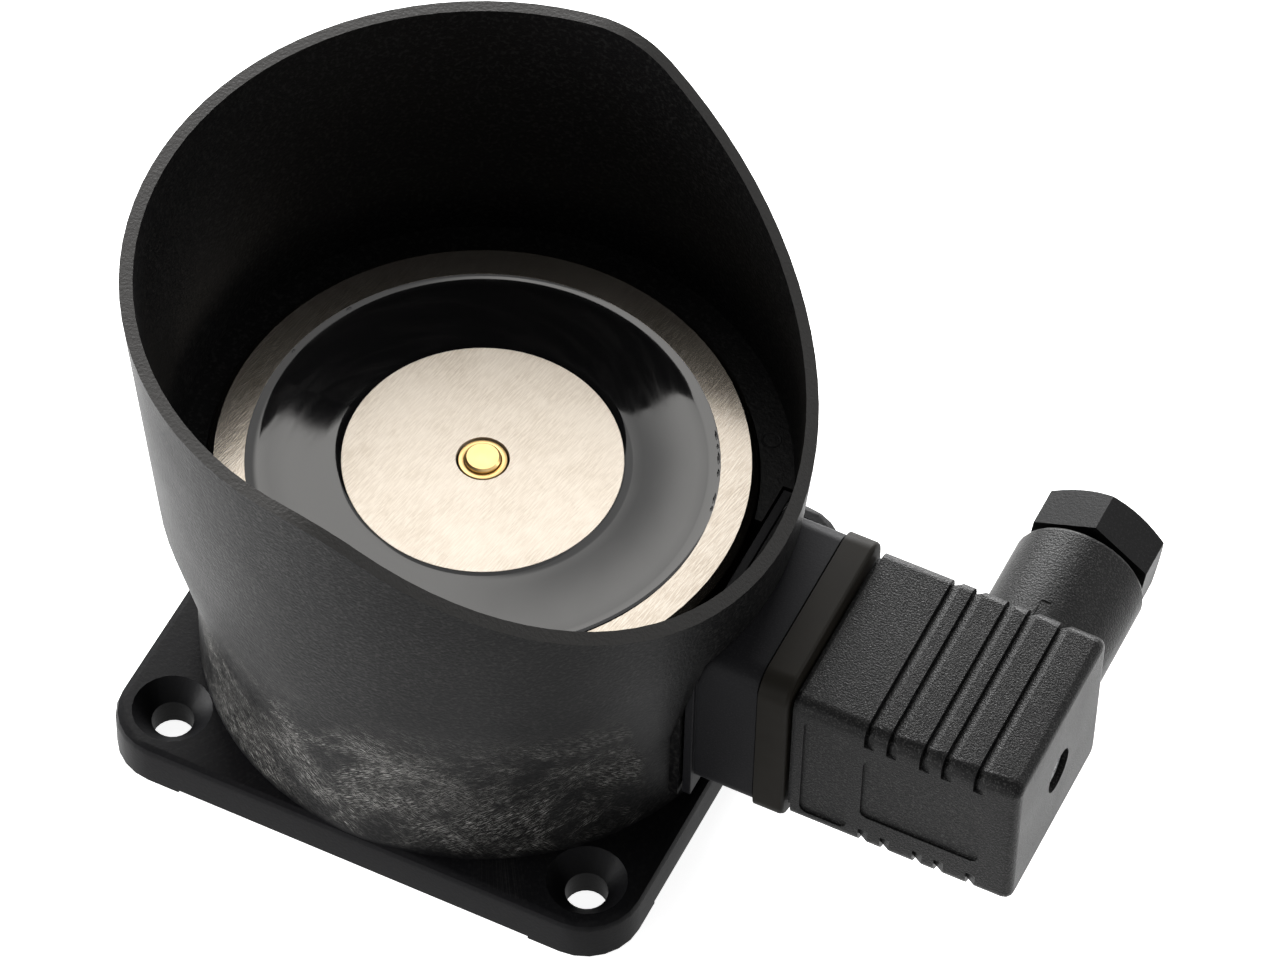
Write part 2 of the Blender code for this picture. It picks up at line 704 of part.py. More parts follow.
def make_plug_base(plastic, brass, tin):
    low_z = PLUG_CENTRE - BASE_HALF
    high_z = PLUG_CENTRE + BASE_HALF
    base = block(
        "plug_base", (PLATE_BACK + PLATE_THICKNESS / 2, -BASE_HALF, low_z), (BASE_FRONT, BASE_HALF, high_z),
        plastic, rounding=((runs_along(0), BASE_CORNER, 5),),
    )
    plate = block(
        "base_plate",
        (PLATE_BACK, -PLATE_HALF_WIDTH, PLATE_BOTTOM),
        (PLATE_FRONT, PLATE_HALF_WIDTH, PLATE_TOP),
    )
    join(base, plate)
    recess = block(
        "base_recess",
        (PLATE_BACK - OVERCUT, -BASE_RECESS_HALF_WIDTH, PLUG_CENTRE - BASE_RECESS_HALF_HEIGHT),
        (PLATE_BACK + BASE_RECESS_DEPTH, BASE_RECESS_HALF_WIDTH, PLUG_CENTRE + BASE_RECESS_HALF_HEIGHT),
    )
    insert_hole = cylinder(
        "insert_hole", INSERT_RADIUS + GAP, PLATE_BACK + BASE_RECESS_DEPTH - OVERCUT / 2,
        BASE_FRONT + OVERCUT, SMALL, axis="X", centre=on_plug_axis(),
    )
    cut(base, recess, insert_hole)
    tail = PLATE_BACK + BASE_RECESS_DEPTH - BLADE_TAIL
    for name, offset_y, offset_z, upright in CONTACTS:
        slot = contact_box(
            f"{name}_slot", offset_y, offset_z, upright, PLATE_BACK - OVERCUT, BASE_FRONT + OVERCUT,
            BLADE_WIDTH + 2 * GAP, BLADE_THICKNESS + 2 * GAP,
        )
        cut(base, slot)
        contact_box(
            f"contact_blade_{name}", offset_y, offset_z, upright, tail, BASE_FRONT + BLADE_REACH,
            BLADE_WIDTH, BLADE_THICKNESS, tin,
        )
    turned(
        "centre_insert",
        tube_profile(INSERT_RADIUS, CENTRE_SCREW_RADIUS + GAP, INSERT_START, BASE_FRONT),
        SMALL, brass, axis="X", centre=on_plug_axis(),
    )


def make_gasket(rubber):
    gasket = block(
        "gasket",
        (GASKET_BACK, -GASKET_HALF, PLUG_CENTRE - GASKET_HALF),
        (GASKET_FRONT, GASKET_HALF, PLUG_CENTRE + GASKET_HALF),
        rubber,
        rounding=(
            (runs_along(0), GASKET_CORNER, 6),
            (bounds_end(0, 1), GASKET_EDGE, 2),
        ),
    )
    window = block(
        "gasket_window",
        (GASKET_BACK - OVERCUT, -GASKET_WINDOW, PLUG_CENTRE - GASKET_WINDOW),
        (GASKET_FRONT + OVERCUT, GASKET_WINDOW, PLUG_CENTRE + GASKET_WINDOW),
    )
    cut(gasket, window)


def grip_cutter(name, start, side):
    """A saw-tooth groove across one face of the connector, wrapped over its two edges."""
    def section(x, depth):
        half_y = CONNECTOR_HALF_WIDTH - depth
        half_z = CONNECTOR_HALF_HEIGHT - depth
        bevel = CONNECTOR_EDGE * 0.6
        wide = CONNECTOR_HALF_WIDTH + OVERCUT
        high = CONNECTOR_HALF_HEIGHT + OVERCUT
        foot = CONNECTOR_HALF_HEIGHT - GRIP_WRAP
        half = [(wide, high), (wide, foot), (half_y, foot), (half_y, half_z - bevel), (half_y - bevel, half_z)]
        outline = half + [(-y, z) for y, z in reversed(half)]
        return [(x, y, PLUG_CENTRE + side * z) for y, z in outline]

    mesh = bpy.data.meshes.new(name)
    shape = bmesh.new()
    ends = []
    for x, depth in ((start, GRIP_DEPTH), (start + GRIP_WIDTH, GRIP_DEPTH / 8)):
        ends.append([shape.verts.new(point) for point in section(x, depth)])
    count = len(ends[0])
    for i in range(count):
        follow = (i + 1) % count
        shape.faces.new((ends[0][i], ends[0][follow], ends[1][follow], ends[1][i]))
    shape.faces.new(ends[0])
    shape.faces.new(ends[1])
    bmesh.ops.recalc_face_normals(shape, faces=shape.faces)
    shape.to_mesh(mesh)
    shape.free()
    return add_mesh_object(name, mesh)


def make_connector(plastic):
    low_z = PLUG_CENTRE - CONNECTOR_HALF_HEIGHT
    high_z = PLUG_CENTRE + CONNECTOR_HALF_HEIGHT
    housing = block(
        "connector_housing",
        (CONNECTOR_START, -CONNECTOR_HALF_WIDTH, low_z),
        (CONNECTOR_END, CONNECTOR_HALF_WIDTH, high_z),
        plastic,
        rounding=(
            (runs_along(0), CONNECTOR_EDGE, 4),
            (bounds_end(0, 1), CONNECTOR_END_EDGE, 3),
        ),
    )
    nose_y = CONNECTOR_HALF_WIDTH - NOSE_INSET
    nose_z = CONNECTOR_HALF_HEIGHT - NOSE_INSET
    nose = block(
        "connector_nose",
        (GASKET_FRONT + GAP, -nose_y, PLUG_CENTRE - nose_z),
        (CONNECTOR_START + NOSE_LENGTH, nose_y, PLUG_CENTRE + nose_z),
        rounding=((runs_along(0), CONNECTOR_EDGE, 4),),
    )
    gland_centre = (GLAND_AXIS_X, 0.0, PLUG_CENTRE)
    stub = cylinder(
        "gland_stub", GLAND_RADIUS, CONNECTOR_HALF_WIDTH - CONNECTOR_WALL / 2, GLAND_END, MEDIUM,
        axis="Y", centre=gland_centre,
    )
    stub_edge = stub.modifiers.new("edge", "BEVEL")
    stub_edge.width = GLAND_EDGE
    stub_edge.segments = 2
    stub_edge.limit_method = "ANGLE"
    stub_edge.angle_limit = math.radians(50.0)
    join(housing, nose, stub)

    cavity_y = CONNECTOR_HALF_WIDTH - CONNECTOR_WALL
    cavity_z = CONNECTOR_HALF_HEIGHT - CONNECTOR_WALL
    cavity = block(
        "connector_cavity",
        (GASKET_FRONT - OVERCUT, -cavity_y, PLUG_CENTRE - cavity_z),
        (CAVITY_END, cavity_y, PLUG_CENTRE + cavity_z),
    )
    head_hole = cylinder(
        "head_hole", CENTRE_HOLE_RADIUS, SCREW_SEAT, CONNECTOR_END + OVERCUT, SMALL,
        axis="X", centre=on_plug_axis(),
    )
    screw_hole = cylinder(
        "screw_hole", CENTRE_SCREW_RADIUS + GAP, CAVITY_END - OVERCUT, CONNECTOR_END, SMALL,
        axis="X", centre=on_plug_axis(),
    )
    gland_bore = cylinder(
        "gland_bore", GLAND_BORE, GLAND_SEAT, GLAND_END + OVERCUT, MEDIUM, axis="Y", centre=gland_centre
    )
    cable_hole = cylinder(
        "cable_hole", CABLE_RADIUS, 0.0, GLAND_END, SMALL, axis="Y", centre=gland_centre
    )
    cut(housing, cavity, head_hole, screw_hole, gland_bore, cable_hole)

    for number, offset in enumerate(GRIP_OFFSETS):
        for label, side in (("top", 1), ("bottom", -1)):
            cut(housing, grip_cutter(f"grip_{label}_{number}", GRIP_FIRST + offset, side))
    for number, (start, end, low, high) in enumerate((PANEL_1, PANEL_2)):
        panel = block(
            f"panel_{number}",
            (CONNECTOR_START + start, -CONNECTOR_HALF_WIDTH - OVERCUT, PLUG_CENTRE + low),
            (CONNECTOR_START + end, -CONNECTOR_HALF_WIDTH + PANEL_DEPTH, PLUG_CENTRE + high),
            rounding=((runs_along(1), CONNECTOR_EDGE / 2, 2),),
        )
        cut(housing, panel)


def make_connector_insert(plastic, brass, screw_zinc, seal_rubber):
    half_y = CONNECTOR_HALF_WIDTH - CONNECTOR_WALL - GAP
    half_z = CONNECTOR_HALF_HEIGHT - CONNECTOR_WALL - GAP
    insert = block(
        "contact_block",
        (BLOCK_BACK, -half_y, PLUG_CENTRE - half_z), (BLOCK_FRONT, half_y, PLUG_CENTRE + half_z), plastic,
    )
    screw_hole = cylinder(
        "block_screw_hole", CENTRE_SCREW_RADIUS + GAP, BLOCK_BACK - OVERCUT, BLOCK_FRONT + OVERCUT,
        SMALL, axis="X", centre=on_plug_axis(),
    )
    cut(insert, screw_hole)
    socket_start = BLOCK_BACK + GAP
    socket_end = socket_start + SOCKET_LENGTH
    for name, offset_y, offset_z, upright in CONTACTS:
        place = (offset_y, offset_z, upright)
        hole = contact_box(
            f"{name}_socket_hole", *place, BLOCK_BACK - OVERCUT, socket_end + GAP,
            SOCKET_WIDTH + 2 * GAP, SOCKET_HEIGHT + 2 * GAP,
        )
        terminal_hole = cylinder(
            f"{name}_terminal_hole", TERMINAL_RADIUS + GAP, socket_end, BLOCK_FRONT + OVERCUT, SMALL,
            axis="X", centre=on_plug_axis(offset_y, offset_z),
        )
        cut(insert, hole, terminal_hole)
        socket = contact_box(
            f"contact_socket_{name}", *place, socket_start, socket_end, SOCKET_WIDTH, SOCKET_HEIGHT, brass
        )
        slot = contact_box(
            f"{name}_socket_slot", *place, socket_start - OVERCUT, socket_end + OVERCUT,
            BLADE_WIDTH + 2 * GAP, BLADE_THICKNESS + 2 * GAP,
        )
        cut(socket, slot)
        terminal_start = socket_end + 2 * GAP
        cylinder(
            f"terminal_screw_{name}", TERMINAL_RADIUS, terminal_start, terminal_start + TERMINAL_LENGTH,
            SMALL, screw_zinc, axis="X", centre=on_plug_axis(offset_y, offset_z),
        )
    screw = cylinder(
        "centre_screw", CENTRE_HEAD_RADIUS, HEAD_START, HEAD_START + CENTRE_HEAD_HEIGHT, SMALL,
        screw_zinc, axis="X", centre=on_plug_axis(),
    )
    shaft = cylinder(
        "centre_shaft", CENTRE_SCREW_RADIUS, INSERT_START, HEAD_START + CENTRE_HEAD_HEIGHT / 2, SMALL,
        axis="X", centre=on_plug_axis(),
    )
    join(screw, shaft)
    head_end = HEAD_START + CENTRE_HEAD_HEIGHT
    slot = block(
        "centre_slot",
        (head_end - CENTRE_SLOT, -CENTRE_HEAD_RADIUS - OVERCUT, PLUG_CENTRE - CENTRE_SLOT / 2),
        (head_end + OVERCUT, CENTRE_HEAD_RADIUS + OVERCUT, PLUG_CENTRE + CENTRE_SLOT / 2),
    )
    cut(screw, slot)
    turned(
        "screw_seal",
        tube_profile(
            CENTRE_HOLE_RADIUS - GAP, CENTRE_SCREW_RADIUS + GAP, SEAL_START, SEAL_START + SEAL_THICKNESS
        ),
        SMALL, seal_rubber, axis="X", centre=on_plug_axis(),
    )


def make_gland(plastic, rubber, washer_steel):
    centre = (GLAND_AXIS_X, 0.0, PLUG_CENTRE)
    fit = GLAND_BORE - GAP
    turned(
        "gland_seal", tube_profile(fit, CABLE_RADIUS, GLAND_SEAT + GAP, GLAND_SEAL_END),
        MEDIUM, rubber, axis="Y", centre=centre,
    )
    turned(
        "gland_washer", tube_profile(fit, CABLE_RADIUS, CLAMP_START, CLAMP_END),
        MEDIUM, washer_steel, axis="Y", centre=centre,
    )
    corner = NUT_ACROSS_FLATS / math.sqrt(3)
    nut_end = NUT_START + NUT_HEIGHT
    nut = cylinder("gland_nut", corner, NUT_START, nut_end, 6, plastic, axis="Y", centre=centre)
    nut.rotation_euler.rotate_axis("Z", math.radians(6.0))
    slope = [
        (corner + NUT_CHAMFER, nut_end + NUT_CHAMFER / 2),
        (corner + NUT_CHAMFER, nut_end - NUT_CHAMFER),
        (corner - 2 * NUT_CHAMFER, nut_end + NUT_CHAMFER / 2),
    ]
    rim = turned("nut_rim_cutter", slope, MEDIUM, axis="Y", centre=centre)
    shank = turned(
        "nut_shank", tube_profile(fit, CABLE_RADIUS / 2, SHANK_END, NUT_START + NUT_HEIGHT / 2),
        MEDIUM, axis="Y", centre=centre,
    )
    bore = cylinder(
        "nut_bore", CABLE_RADIUS, SHANK_END - OVERCUT, nut_end + OVERCUT, SMALL, axis="Y", centre=centre
    )
    join(nut, shank)
    cut(nut, rim, bore)


def main():
    black = (0.018, 0.018, 0.019)
    steel = (0.72, 0.68, 0.62)
    brass = (0.80, 0.62, 0.30)
    zinc = (0.62, 0.63, 0.65)
    make_housing(make_material("housing_plastic", black, 0.55))
    make_magnet(
        make_material("pot_steel", steel, 0.35, 1.0),
        make_material("core_steel", steel, 0.33, 1.0),
        make_material("bobbin_nylon", (0.75, 0.73, 0.66), 0.5),
        make_material("winding_copper", (0.72, 0.32, 0.16), 0.35, 1.0),
        make_material("potting_resin", (0.012, 0.012, 0.013), 0.12),
    )
    make_leads(make_material("lead_insulation", (0.03, 0.03, 0.03), 0.5))
    make_ejector(
        make_material("sleeve_brass", brass, 0.3, 1.0),
        make_material("pin_brass", brass, 0.25, 1.0),
        make_material("spring_steel", zinc, 0.3, 1.0),
        make_material("retainer_steel", zinc, 0.35, 1.0),
    )
    make_magnet_fixing(
        make_material("screw_zinc", zinc, 0.35, 1.0),
        make_material("washer_steel", zinc, 0.4, 1.0),
    )
    make_plug_base(
        make_material("base_plastic", black, 0.32),
        make_material("insert_brass", brass, 0.3, 1.0),
        make_material("blade_tin", (0.75, 0.74, 0.70), 0.3, 1.0),
    )
    make_gasket(make_material("gasket_rubber", (0.035, 0.032, 0.028), 0.45))
    make_connector(make_material("connector_plastic", black, 0.48))
    make_connector_insert(
        make_material("block_plastic", (0.03, 0.03, 0.032), 0.5),
        make_material("socket_brass", brass, 0.35, 1.0),
        make_material("terminal_zinc", zinc, 0.35, 1.0),
        make_material("seal_rubber", (0.02, 0.02, 0.02), 0.6),
    )
    make_gland(
        make_material("nut_plastic", black, 0.4),
        make_material("gland_rubber", (0.02, 0.02, 0.02), 0.6),
        make_material("clamp_steel", zinc, 0.35, 1.0),
    )


clear_scene()
PARTS = make_collection("holding_magnet")
CUTTERS = make_collection("cutters")
main()
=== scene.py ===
"""Looks of the holding electromagnet: surface finishes, edge rounding, studio light and camera."""
import math

import bmesh
import bpy
from mathutils import Matrix, Vector

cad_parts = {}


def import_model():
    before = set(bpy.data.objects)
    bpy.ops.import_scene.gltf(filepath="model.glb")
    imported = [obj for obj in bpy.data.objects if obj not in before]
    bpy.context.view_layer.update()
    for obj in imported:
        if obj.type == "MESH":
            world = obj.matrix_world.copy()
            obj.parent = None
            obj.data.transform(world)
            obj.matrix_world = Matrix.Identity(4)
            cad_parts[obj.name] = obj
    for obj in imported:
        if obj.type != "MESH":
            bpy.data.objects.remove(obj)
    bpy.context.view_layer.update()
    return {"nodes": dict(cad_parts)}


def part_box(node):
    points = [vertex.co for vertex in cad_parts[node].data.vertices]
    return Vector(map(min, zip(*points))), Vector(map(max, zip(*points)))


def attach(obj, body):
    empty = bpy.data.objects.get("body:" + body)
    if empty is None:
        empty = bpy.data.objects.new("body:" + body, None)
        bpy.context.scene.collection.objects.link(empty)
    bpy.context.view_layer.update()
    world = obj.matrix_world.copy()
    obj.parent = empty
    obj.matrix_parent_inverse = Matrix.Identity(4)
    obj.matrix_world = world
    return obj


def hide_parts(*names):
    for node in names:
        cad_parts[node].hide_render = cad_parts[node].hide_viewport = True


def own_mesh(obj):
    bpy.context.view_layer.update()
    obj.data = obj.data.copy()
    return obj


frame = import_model()
NODES = frame["nodes"]

# Sizes of the solids, in metres like all lengths here
HOUSING_LOW, HOUSING_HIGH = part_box("housing")
POT_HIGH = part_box("magnet_pot")[1]
RESIN_LOW, RESIN_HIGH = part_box("potting_ring")
RIM_RADIUS = -HOUSING_LOW[0]
RIM_HEIGHT = HOUSING_HIGH[2]
POT_RADIUS = POT_HIGH[0]
POLE_HEIGHT = POT_HIGH[2]
DISC_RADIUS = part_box("inner_pole")[1][0]
LEDGE_DROP = 0.0020         # from the pole face to the ledge round it
LEDGE_HEIGHT = POLE_HEIGHT - LEDGE_DROP
COLLAR_SLOPE = 0.0841       # how far the collar flares for its height
RESIN_GAP = 0.0003          # between the resin's solid and the pot's wall

# Where the housing's finish, the painted shade inside its collar and the painted highlight on its rim
# change, each as the start and end of a soft step
FLANGE_FADE = (0.0068, 0.0090)
SCUFF_FOOT = (0.0070, 0.0095)
SCUFF_TOP = (0.0280, LEDGE_HEIGHT)
BODY_FACE = (POT_RADIUS + 0.0005, POT_RADIUS + 0.0015)
# INNER_SKIN and LEDGE_FADE bound the inside of the collar, which gets painted shade
INNER_SKIN = (-0.00059, -0.00029)       # counted from the collar's outer skin
LEDGE_FADE = (LEDGE_HEIGHT - 0.0010, LEDGE_HEIGHT - 0.0002)
# RIM_FADE bounds the rim's top face, which gets a painted highlight
RIM_FADE = (LEDGE_HEIGHT + 0.0030, LEDGE_HEIGHT + 0.0050)
PLUG_SIDE = (0.0350, 0.0362)

# Scuffs on the body: strongest at the front, in two directions
BODY_ARC = 0.045            # radius on which lengths round the body are counted
SCUFF_CENTRE = -0.0440      # on that arc
SCUFF_SPREAD = (0.024, 0.048)
SCUFF_ELSEWHERE = 0.30      # share of them that is left away from the front
SCUFFS = (
    # hair scale and turn, patch scale and turn, patch threshold
    (620.0, -0.62, 46.0, -0.6, 0.45),
    (660.0, 0.55, 52.0, 0.5, 0.46),
)
HAIR_FINENESS = 9800.0
PATCH_STRETCH = (0.7, 1.3, 1.0)
PATCH_SOFTNESS = 0.19

# Steel, resin and brass
POLE_WALL_FADE = (POLE_HEIGHT - 0.0012, POLE_HEIGHT - 0.0006)
GRINDING_STRETCH = (420.0, 4200.0, 1.0)
GRINDING_TURN = 1.40        # radians about Z
SMEAR_ARC = 0.027           # radius on which lengths round the resin are counted
SMEAR_STRETCH = (70.0, 420.0, 1.0)
SMEAR_TURN = 0.25
RESIN_IOR = 1.55
LATHE_MARKS = 9000.0

# Edge rounding and shading of the solids, with angles in degrees
WELD_DISTANCE = 0.000002
SHARP_ANGLE = 36.0
SOFT_ANGLE = 47.0
BEVEL_MARGIN = 1.0
BEVEL_SEGMENTS = 2
NORMAL_WEIGHT = 90
ROUNDED = {
    "housing": 0.00028, "plug_base": 0.00035, "connector_housing": 0.00018, "gland_nut": 0.00022,
    "magnet_pot": 0.00012, "inner_pole": 0.00010, "guide_sleeve": 0.00012,
}
SOFT = ("connector_housing", "plug_base", "gasket")

# The poured resin and its meniscus
RESIN_CLEARANCE = 0.00002
RESIN_INNER = DISC_RADIUS + RESIN_CLEARANCE
RESIN_OUTER = RESIN_HIGH[0] + RESIN_GAP - RESIN_CLEARANCE
RESIN_BOTTOM = RESIN_LOW[2]
RESIN_LEVEL = RESIN_HIGH[2] - RESIN_CLEARANCE
RESIN_STEPS = 160
INNER_LIP_WIDTH = 0.0014
INNER_LIP_RISE = 0.00022
OUTER_LIP_WIDTH = 0.0020
OUTER_LIP_RISE = 0.00027
LIP_POWER = 2.2
LIP_STEPS = 10
RESIN_DIP = 0.00015
DIP_STEPS = 8

# Chips at the resin's edge: angle in degrees and half length
FLECKS = (
    (34.1, 0.0010), (30.6, 0.0005), (27.0, 0.0013), (22.5, 0.0008),
    (14.6, 0.0011), (11.4, 0.0006), (152.0, 0.0005), (171.0, 0.0004),
)
FLECK_RADIUS = RESIN_OUTER - 0.00024
FLECK_HEIGHT = RESIN_LEVEL + 0.00012
FLECK_HALF_WIDTH = 0.00022
FLECK_HALF_HEIGHT = 0.00016
FLECK_SUBDIVISIONS = 3
RIPPLE = 0.16
RIPPLE_WAVES = Vector((5.1, 3.7, 2.3))

# Marks of the mould's ejector pins: angles in degrees, and a profile of radius and height
MARK_ANGLES = (33.5, 90.3, 148.4, 211.6, 269.7)
MARK_PROFILE = (
    (0.00118, 0.00007), (0.00128, 0.00010), (0.00142, 0.00010),
    (0.00150, 0.0), (0.00118, 0.0),
)
MARK_RING_RADIUS = POT_RADIUS + 0.0022
MARK_SINK = 0.00001
MARK_STEPS = 40
LATHE_SHARP_ANGLE = 50.0

# Floor and background
FLOOR_SIZE = 6.0
FLOOR_DROP = 0.0004
FLOOR_SHADE = 0.22          # its colour for the light that it throws back
FLOOR_WHITE = 0.80          # its colour where it is seen
FLOOR_GLOW = 0.90
WORLD_AMBIENT = 0.16

# Camera, solved on the photograph
CAMERA_PLACE = (0.27288, -0.54147, 0.83068)
CAMERA_AZIMUTH = math.radians(24.643)
CAMERA_ELEVATION = math.radians(52.428)
CAMERA_ROLL = math.radians(1.677)
CAMERA_LENS = 197.568
CAMERA_SENSOR = 36.0
CAMERA_CLIP = (0.05, 20.0)


# Helpers

def add_object(name, data):
    """A new object in the scene, for a mesh, a light or the camera."""
    item = bpy.data.objects.new(name, data)
    bpy.context.scene.collection.objects.link(item)
    return item


def on_circle(radius, degrees, height):
    """A place at an angle round the Z axis."""
    turn = math.radians(degrees)
    return radius * math.cos(turn), radius * math.sin(turn), height


def rgba(colour):
    """A socket as it is, or three numbers as an opaque colour."""
    return colour if isinstance(colour, bpy.types.NodeSocket) else (*colour, 1.0)


def toned(colour, painted_brightness):
    """A colour made lighter or darker, to paint light or shade into it."""
    return tuple(painted_brightness * part for part in colour)


class Shader:
    """Builds one material's node tree in small steps that hand on output sockets."""

    def __init__(self, name):
        self.material = bpy.data.materials.new(name)
        self.material.use_nodes = True
        self.tree = self.material.node_tree
        self.bsdf = self.tree.nodes["Principled BSDF"]
        coords = self.tree.nodes.new("ShaderNodeTexCoord")
        self.place = coords.outputs["Object"]

    def link(self, value, socket):
        """Join a socket to a socket, or write a plain value into it."""
        if isinstance(value, bpy.types.NodeSocket):
            self.tree.links.new(value, socket)
        else:
            socket.default_value = value

    def math(self, operation, a, b=0.0, c=0.0):
        """One sum on sockets or plain numbers."""
        node = self.tree.nodes.new("ShaderNodeMath")
        node.operation = operation
        for socket, value in zip(node.inputs, (a, b, c)):
            self.link(value, socket)
        return node.outputs[0]

    def product(self, result, *others):
        """All the values multiplied."""
        for value in others:
            result = self.math("MULTIPLY", result, value)
        return result

    def scaled(self, value, gain, offset):
        """A value times a gain, plus an offset."""
        return self.math("MULTIPLY_ADD", value, gain, offset)

    def uneven(self, value, middle, swing):
        """A value from 0 to 1 as a variation about a middle."""
        return self.scaled(value, swing, middle - swing / 2)

    def parts(self, vector):
        """The X, Y and Z of a vector."""
        node = self.tree.nodes.new("ShaderNodeSeparateXYZ")
        self.link(vector, node.inputs[0])
        return node.outputs

    def axes(self):
        """The X, Y and Z of the place on the object."""
        return self.parts(self.place)

    def upward(self):
        """How far a face looks up, from -1 to 1."""
        geometry = self.tree.nodes.new("ShaderNodeNewGeometry")
        return self.parts(geometry.outputs["Normal"])["Z"]

    def radius(self):
        """Distance from the Z axis."""
        place = self.axes()
        squares = [self.product(place[axis], place[axis]) for axis in ("X", "Y")]
        return self.math("SQRT", self.math("ADD", *squares))

    def around(self, arc):
        """Way round the Z axis, as a length on an arc of the given radius."""
        place = self.axes()
        return self.product(self.math("ARCTAN2", place["Y"], place["X"]), arc)

    def vector(self, x, y, z):
        """A vector from three values."""
        node = self.tree.nodes.new("ShaderNodeCombineXYZ")
        for socket, value in zip(node.inputs, (x, y, z)):
            self.link(value, socket)
        return node.outputs[0]

    def stretch(self, scale, turn, vector=None):
        """Coordinates scaled along axes that stand at an angle about Z to the given ones."""
        vector = vector or self.place
        for key, value in (("Rotation", (0.0, 0.0, -turn)), ("Scale", scale)):
            node = self.tree.nodes.new("ShaderNodeMapping")
            node.inputs[key].default_value = value
            self.link(vector, node.inputs["Vector"])
            vector = node.outputs[0]
        return vector

    def noise(self, scale, detail=3.0, roughness=0.55, vector=None, distortion=0.0):
        """Cloudy noise from 0 to 1."""
        node = self.tree.nodes.new("ShaderNodeTexNoise")
        node.inputs["Scale"].default_value = scale
        node.inputs["Detail"].default_value = detail
        node.inputs["Roughness"].default_value = roughness
        node.inputs["Distortion"].default_value = distortion
        self.link(vector or self.place, node.inputs["Vector"])
        return node.outputs["Fac"]

    def band(self, value, low, high, start=0.0, end=1.0):
        """A soft step from start to end, as a value goes from low to high."""
        node = self.tree.nodes.new("ShaderNodeMapRange")
        node.interpolation_type = "SMOOTHSTEP"
        for key, number in (("From Min", low), ("From Max", high), ("To Min", start), ("To Max", end)):
            node.inputs[key].default_value = number
        self.link(value, node.inputs["Value"])
        return node.outputs["Result"]

    def mix(self, factor, a, b):
        """Colour a where the factor is 0 and b where it is 1."""
        node = self.tree.nodes.new("ShaderNodeMix")
        node.data_type = "RGBA"
        self.link(factor, node.inputs[0])
        self.link(rgba(a), node.inputs[6])
        self.link(rgba(b), node.inputs[7])
        return node.outputs[2]

    def bump(self, height, strength, distance, normal=None):
        """A normal that follows a height, on top of another normal where one is given."""
        node = self.tree.nodes.new("ShaderNodeBump")
        node.inputs["Strength"].default_value = strength
        node.inputs["Distance"].default_value = distance
        self.link(height, node.inputs["Height"])
        if normal is not None:
            self.link(normal, node.inputs["Normal"])
        return node.outputs[0]

    def finish(self, colour, roughness, metallic=0.0, normal=None, specular=0.5):
        """Join everything to the surface and return the material."""
        self.link(rgba(colour), self.bsdf.inputs["Base Color"])
        self.link(roughness, self.bsdf.inputs["Roughness"])
        self.bsdf.inputs["Metallic"].default_value = metallic
        self.bsdf.inputs["Specular IOR Level"].default_value = specular
        if normal is not None:
            self.link(normal, self.bsdf.inputs["Normal"])
        return self.material


# Finishes

def moulded(name, dark, pale, roughness, grain, depth, specular):
    """Black moulded plastic; grain says how fine its texture is and depth how strong."""
    s = Shader(name)
    speck = s.band(s.noise(1.2 * grain, detail=1.0), 0.50, 0.72)
    colour = s.mix(speck, dark, pale)
    rough = s.uneven(s.noise(90.0), roughness, swing=0.16)
    normal = s.bump(s.noise(grain, detail=2.0, roughness=0.6), depth, distance=0.0003)
    return s.finish(colour, rough, normal=normal, specular=specular)


def scuffs(s, area):
    """Worn patches and the fine hairs in them, both kept to an area of the housing."""
    sheet = s.vector(s.around(BODY_ARC), s.axes()["Z"], 0.0)
    patches = []
    hairs = []
    for hair_scale, hair_turn, patch_scale, patch_turn, start in SCUFFS:
        patch_place = s.stretch(PATCH_STRETCH, patch_turn, sheet)
        cloud = s.noise(patch_scale, detail=5.0, roughness=0.7, vector=patch_place)
        patch = s.band(cloud, start, start + PATCH_SOFTNESS)
        hair_place = s.stretch((hair_scale, HAIR_FINENESS, 1.0), hair_turn, sheet)
        hair = s.noise(1.0, detail=2.0, roughness=0.6, vector=hair_place, distortion=0.2)
        patches.append(patch)
        hairs.append(s.product(s.band(hair, 0.53, 0.66), patch))
    return [s.product(s.math("MAXIMUM", *marks), area) for marks in (patches, hairs)]


